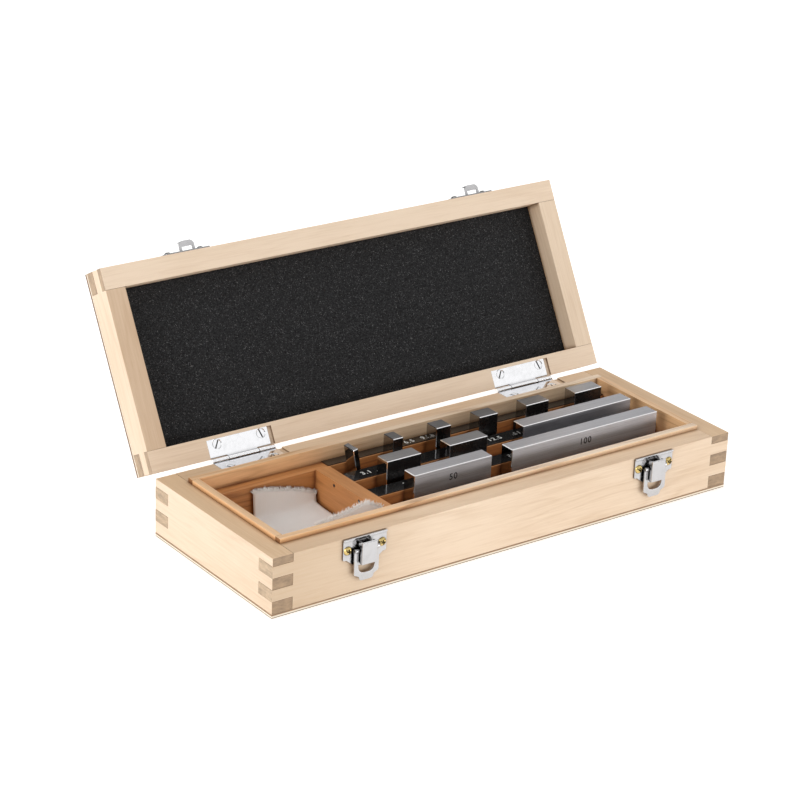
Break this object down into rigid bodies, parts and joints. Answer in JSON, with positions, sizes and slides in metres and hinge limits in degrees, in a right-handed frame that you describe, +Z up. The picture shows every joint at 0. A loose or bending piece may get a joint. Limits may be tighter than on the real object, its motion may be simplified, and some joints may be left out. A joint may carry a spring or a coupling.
{
  "type": "gauge block set",
  "caption": "Steel gauge blocks of stepped lengths in a slotted wooden holder, inside a hinged wooden case with a foam-lined lid, toggle latches and a cloth compartment.",
  "frame": {"origin": "centre of the case's bottom face, on the surface that it stands on", "axes": "+Z up, +X along the case to the right seen from the latches, -Y towards the latches"},
  "size_m": [0.2944, 0.1841, 0.1331],
  "materials": {
    "gauge_steel": "lapped and ground, satin with bright edges",
    "holder_wood": "planed and stained orange-brown",
    "lining_wood": "planed, clear",
    "case_wood": "sanded pale birch, satin varnish",
    "plywood": "thin plywood, sanded",
    "label": "black engraved strip with white numbers",
    "cloth": "off-white cotton with frayed edges",
    "foam": "black speckled foam",
    "hinge_chrome": "polished plate",
    "latch_nickel": "bright nickel plate",
    "screw_brass": "yellow zinc or brass",
    "dark_steel": "plain steel"
  },
  "bodies": {
    "case": {"back_board": "case_wood", "back_lining": "lining_wood", "block_100_mm": "gauge_steel", "block_12_5_mm": "gauge_steel", "block_15_8_mm": "gauge_steel", "block_19_mm": "gauge_steel", "block_21_9_mm": "gauge_steel", "block_25_mm": "gauge_steel", "block_3_1_mm": "gauge_steel", "block_50_mm": "gauge_steel", "block_6_5_mm": "gauge_steel", "block_75_mm": "gauge_steel", "block_9_7_mm": "gauge_steel", "block_holder": "holder_wood", "bottom_panel": "plywood", "cleaning_cloth": "cloth", "divider": "holder_wood", "divider_nails": "dark_steel", "front_board": "case_wood", "front_label_strip": "label", "front_lining": "lining_wood", "front_rail": "holder_wood", "hinge_base_screws": "hinge_chrome", "latch_screws": "screw_brass", "left_board": "case_wood", "left_hinge_base_leaf": "hinge_chrome", "left_hinge_pin": "hinge_chrome", "left_latch_plate": "latch_nickel", "left_lever_pin": "latch_nickel", "left_lining": "lining_wood", "rear_label_strip": "label", "rear_rail": "holder_wood", "right_board": "case_wood", "right_hinge_base_leaf": "hinge_chrome", "right_hinge_pin": "hinge_chrome", "right_latch_plate": "latch_nickel", "right_lever_pin": "latch_nickel", "right_lining": "lining_wood", "second_label_strip": "label", "second_rail": "holder_wood", "third_label_strip": "label", "third_rail": "holder_wood"},
    "lid": {"catch_screws": "dark_steel", "hinge_lid_screws": "hinge_chrome", "left_catch_plate": "latch_nickel", "left_hinge_lid_leaf": "hinge_chrome", "lid_back_board": "case_wood", "lid_foam": "foam", "lid_front_board": "case_wood", "lid_left_board": "case_wood", "lid_panel": "plywood", "lid_right_board": "case_wood", "right_catch_plate": "latch_nickel", "right_hinge_lid_leaf": "hinge_chrome"},
    "left_lever": {"left_latch_lever": "latch_nickel", "left_loop_pin": "latch_nickel"},
    "left_loop": {"left_latch_loop": "latch_nickel"},
    "right_lever": {"right_latch_lever": "latch_nickel", "right_loop_pin": "latch_nickel"},
    "right_loop": {"right_latch_loop": "latch_nickel"}
  },
  "joints": [
    {"name": "lid_hinge", "type": "hinge", "parent": "case", "child": "lid", "pos_m": [0, 0.0558, 0.0325], "axis": [1, 0, 0], "range_deg": [0, 118.9]},
    {"name": "left_lever_pivot", "type": "hinge", "parent": "case", "child": "left_lever", "pos_m": [-0.0935, -0.0574, 0.0283], "axis": [1, 0, 0], "range_deg": [-90, 0]},
    {"name": "left_loop_pivot", "type": "hinge", "parent": "left_lever", "child": "left_loop", "pos_m": [-0.0935, -0.0564, 0.0252], "axis": [-1, 0, 0], "range_deg": [0, 180]},
    {"name": "right_lever_pivot", "type": "hinge", "parent": "case", "child": "right_lever", "pos_m": [0.0935, -0.0574, 0.0283], "axis": [1, 0, 0], "range_deg": [-90, 0]},
    {"name": "right_loop_pivot", "type": "hinge", "parent": "right_lever", "child": "right_loop", "pos_m": [0.0935, -0.0564, 0.0252], "axis": [-1, 0, 0], "range_deg": [0, 180]}
  ]
}
